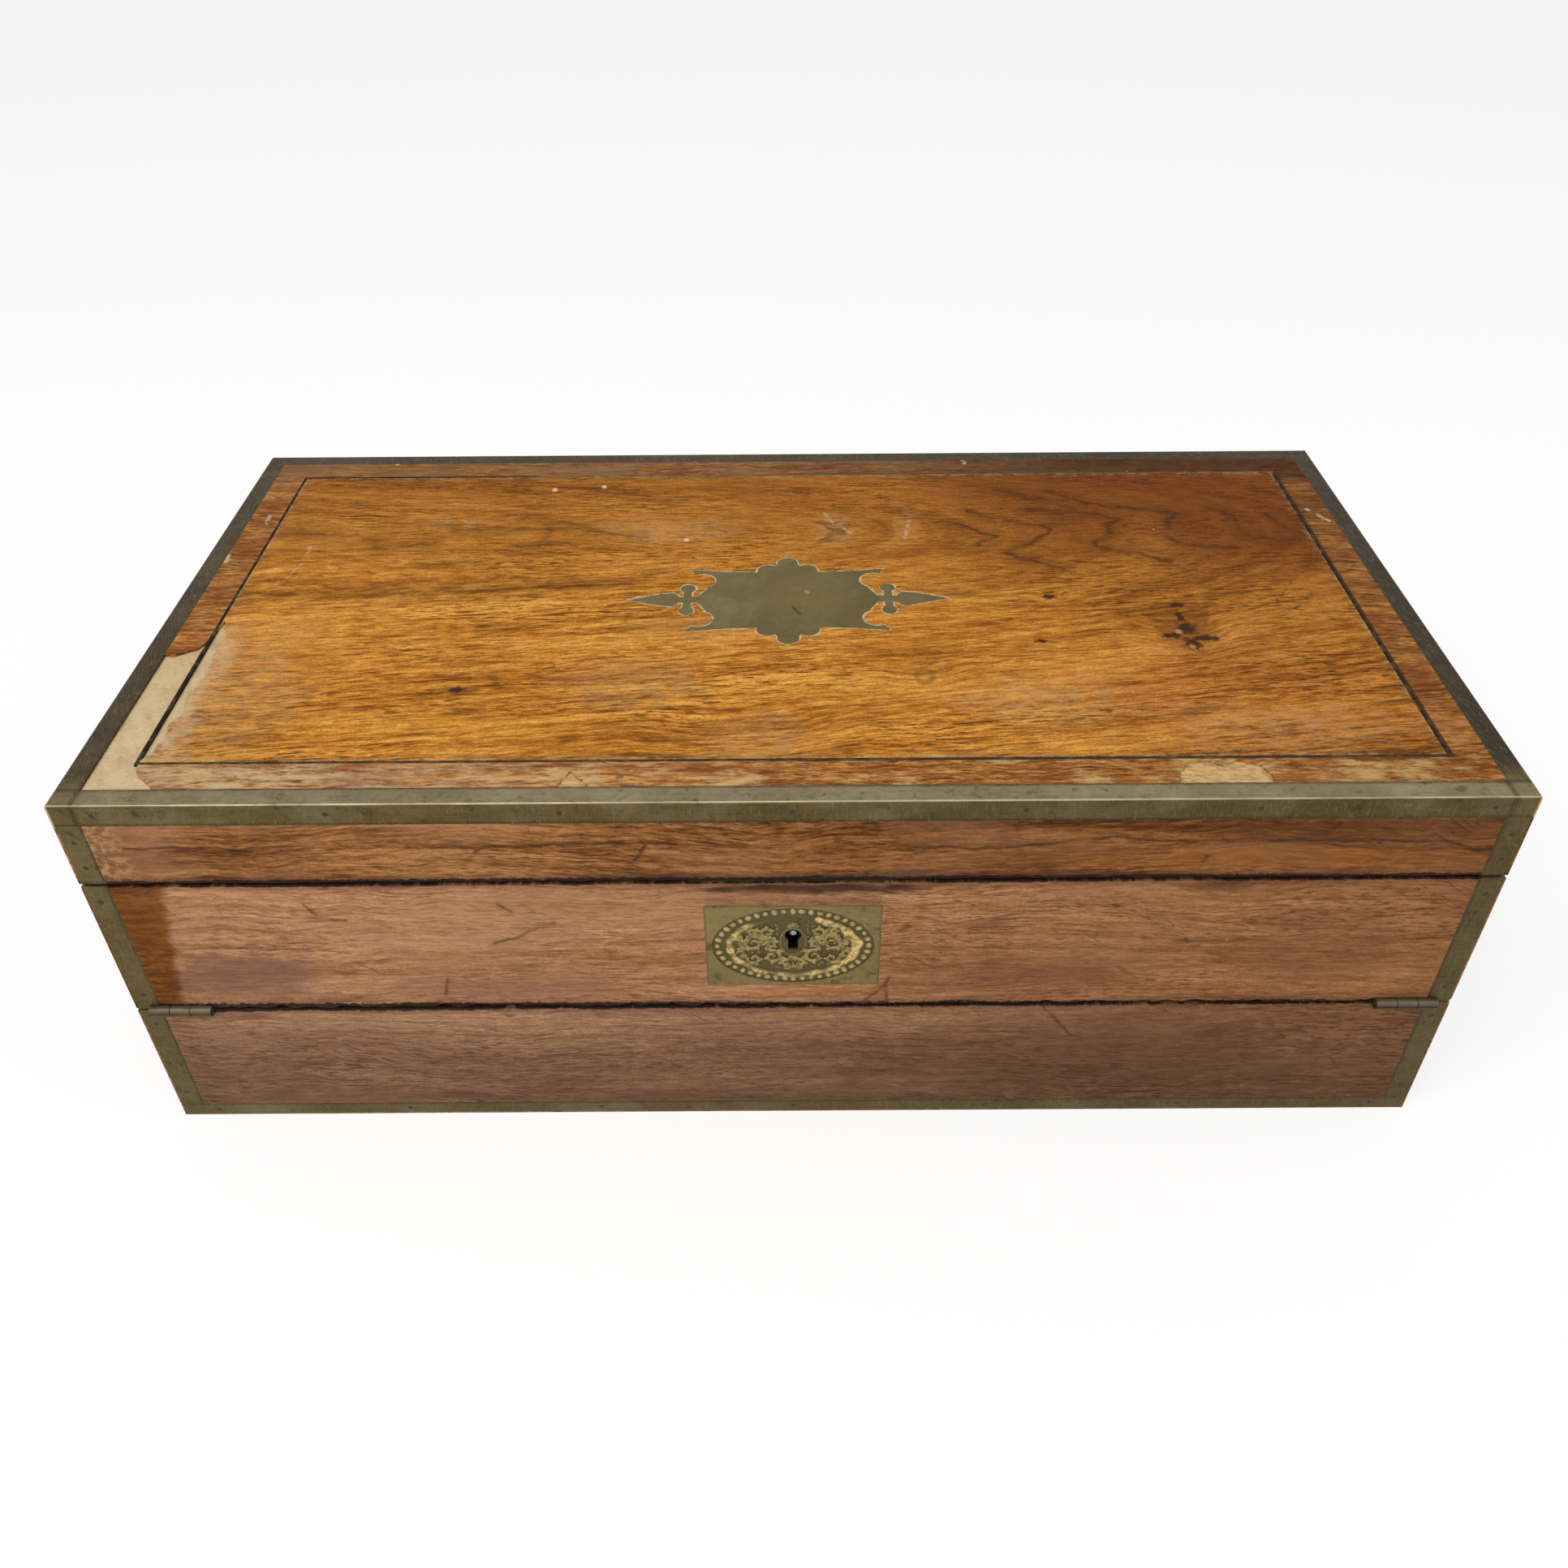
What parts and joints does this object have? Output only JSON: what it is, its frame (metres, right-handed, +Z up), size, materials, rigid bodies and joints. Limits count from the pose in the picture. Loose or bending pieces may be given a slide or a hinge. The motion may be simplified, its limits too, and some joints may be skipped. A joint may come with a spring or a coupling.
{
  "type": "letter writing box with drawer",
  "caption": "Brass-bound rosewood writing box with a hinged inlaid lid, a fall front, a leather writing slope, a pen tray, inkwells and a side drawer.",
  "frame": {"origin": "centre of the underside, on the surface that the box stands on", "axes": "+X to the right towards the drawer, +Y from the keyhole side to the back, +Z up"},
  "size_m": [0.5, 0.268, 0.166],
  "materials": {
    "rosewood": "French-polished rosewood veneer, worn",
    "mahogany": "plain mahogany inside, satin",
    "pine": "bare pale ground wood",
    "brass": "dull, tarnished",
    "bright_brass": "cleaner where it is handled",
    "steel": "dark, plain",
    "writing_leather": "dark green skiver with a gold border",
    "lining_leather": "dark red skiver",
    "stringing": "ebonised line",
    "glass": "clear"
  },
  "bodies": {
    "case": {"bottom_board": "mahogany", "case_front_wall": "rosewood", "case_back_wall": "rosewood", "case_left_wall": "rosewood", "case_right_wall": "rosewood", "dust_board": "mahogany", "drawer_guides": "mahogany", "slope_frame_rails": "mahogany", "pen_partition": "mahogany", "well_dividers": "mahogany", "case_bottom_strips": "brass", "case_corner_strips": "brass", "case_strip_pins": "brass", "flap_hinge_lower_leaves": "brass", "lid_hinge_lower_leaves": "brass", "board_hinge_fixed_leaves": "brass", "hinge_pins": "steel", "side_handle_cup": "brass"},
    "front_flap": {"flap_panel": "rosewood", "flap_corner_strips": "brass", "flap_strip_pins": "brass", "flap_hinge_upper_leaves": "brass", "lock_plate": "brass", "lock_case": "steel", "lock_selvedge": "brass", "flap_lining": "lining_leather"},
    "lock_bolt": {"lock_bolt": "bright_brass"},
    "lid": {"lid_top_board": "pine", "lid_front_wall": "rosewood", "lid_back_wall": "rosewood", "lid_end_walls": "rosewood", "lid_veneer_field": "rosewood", "lid_veneer_border": "rosewood", "lid_string_inlay": "stringing", "lid_cartouche": "brass", "lid_edge_strips": "brass", "lid_corner_strips": "brass", "lid_strip_pins": "brass", "lid_hinge_upper_leaves": "brass", "link_plate": "brass", "lid_lining_frame": "mahogany", "lid_lining": "lining_leather"},
    "drawer": {"drawer_front": "rosewood", "drawer_sides": "mahogany", "drawer_back": "mahogany", "drawer_bottom": "mahogany", "drawer_handle_cup": "brass"},
    "drawer_handle": {"drawer_handle_bail": "bright_brass"},
    "side_handle": {"side_handle_bail": "bright_brass"},
    "drawer_lock_pin": {"drawer_lock_pin": "bright_brass"},
    "writing_board": {"writing_board": "mahogany", "writing_leather": "writing_leather", "board_hinge_moving_leaves": "brass"},
    "pen_tray": {"pen_tray": "mahogany"},
    "left_inkwell": {"left_inkwell": "glass", "left_inkwell_collar": "brass"},
    "right_inkwell": {"right_inkwell": "glass", "right_inkwell_collar": "brass"},
    "left_inkwell_cap": {"left_inkwell_cap": "bright_brass"},
    "right_inkwell_cap": {"right_inkwell_cap": "bright_brass"}
  },
  "joints": [
    {"name": "lid_hinge", "type": "hinge", "parent": "case", "child": "lid", "pos_m": [0, 0.1318, 0.13015], "axis": [-1, 0, 0], "range_deg": [0, 105]},
    {"name": "flap_hinge", "type": "hinge", "parent": "case", "child": "front_flap", "pos_m": [0, -0.1318, 0.0646], "axis": [1, 0, 0], "range_deg": [0, 180]},
    {"name": "drawer_slide", "type": "slide", "parent": "case", "child": "drawer", "axis": [1, 0, 0], "range_m": [0, 0.32]},
    {"name": "drawer_handle_pivot", "type": "hinge", "parent": "drawer", "child": "drawer_handle", "pos_m": [0.2477, 0, 0.03465], "axis": [0, -1, 0], "range_deg": [0, 100]},
    {"name": "side_handle_pivot", "type": "hinge", "parent": "case", "child": "side_handle", "pos_m": [-0.2477, 0, 0.03465], "axis": [0, 1, 0], "range_deg": [0, 100]},
    {"name": "drawer_lock_pin_slide", "type": "slide", "parent": "case", "child": "drawer_lock_pin", "axis": [0, 0, 1], "range_m": [-0.008, 0]},
    {"name": "lock_bolt_slide", "type": "slide", "parent": "front_flap", "child": "lock_bolt", "axis": [1, 0, 0], "range_m": [0, 0.005]},
    {"name": "writing_board_hinge", "type": "hinge", "parent": "case", "child": "writing_board", "pos_m": [0, 0.05, 0.11119], "axis": [-1, 0, 0], "range_deg": [0, 26]},
    {"name": "pen_tray_lift", "type": "slide", "parent": "case", "child": "pen_tray", "axis": [0, 0, 1], "range_m": [0, 0.03]},
    {"name": "left_inkwell_lift", "type": "slide", "parent": "case", "child": "left_inkwell", "axis": [0, 0, 1], "range_m": [0, 0.045]},
    {"name": "right_inkwell_lift", "type": "slide", "parent": "case", "child": "right_inkwell", "axis": [0, 0, 1], "range_m": [0, 0.045]},
    {"name": "left_cap_hinge", "type": "hinge", "parent": "left_inkwell", "child": "left_inkwell_cap", "pos_m": [-0.219, 0.1144, 0.09445], "axis": [-1, 0, 0], "range_deg": [0, 90]},
    {"name": "right_cap_hinge", "type": "hinge", "parent": "right_inkwell", "child": "right_inkwell_cap", "pos_m": [0.219, 0.1144, 0.09445], "axis": [-1, 0, 0], "range_deg": [0, 90]}
  ]
}
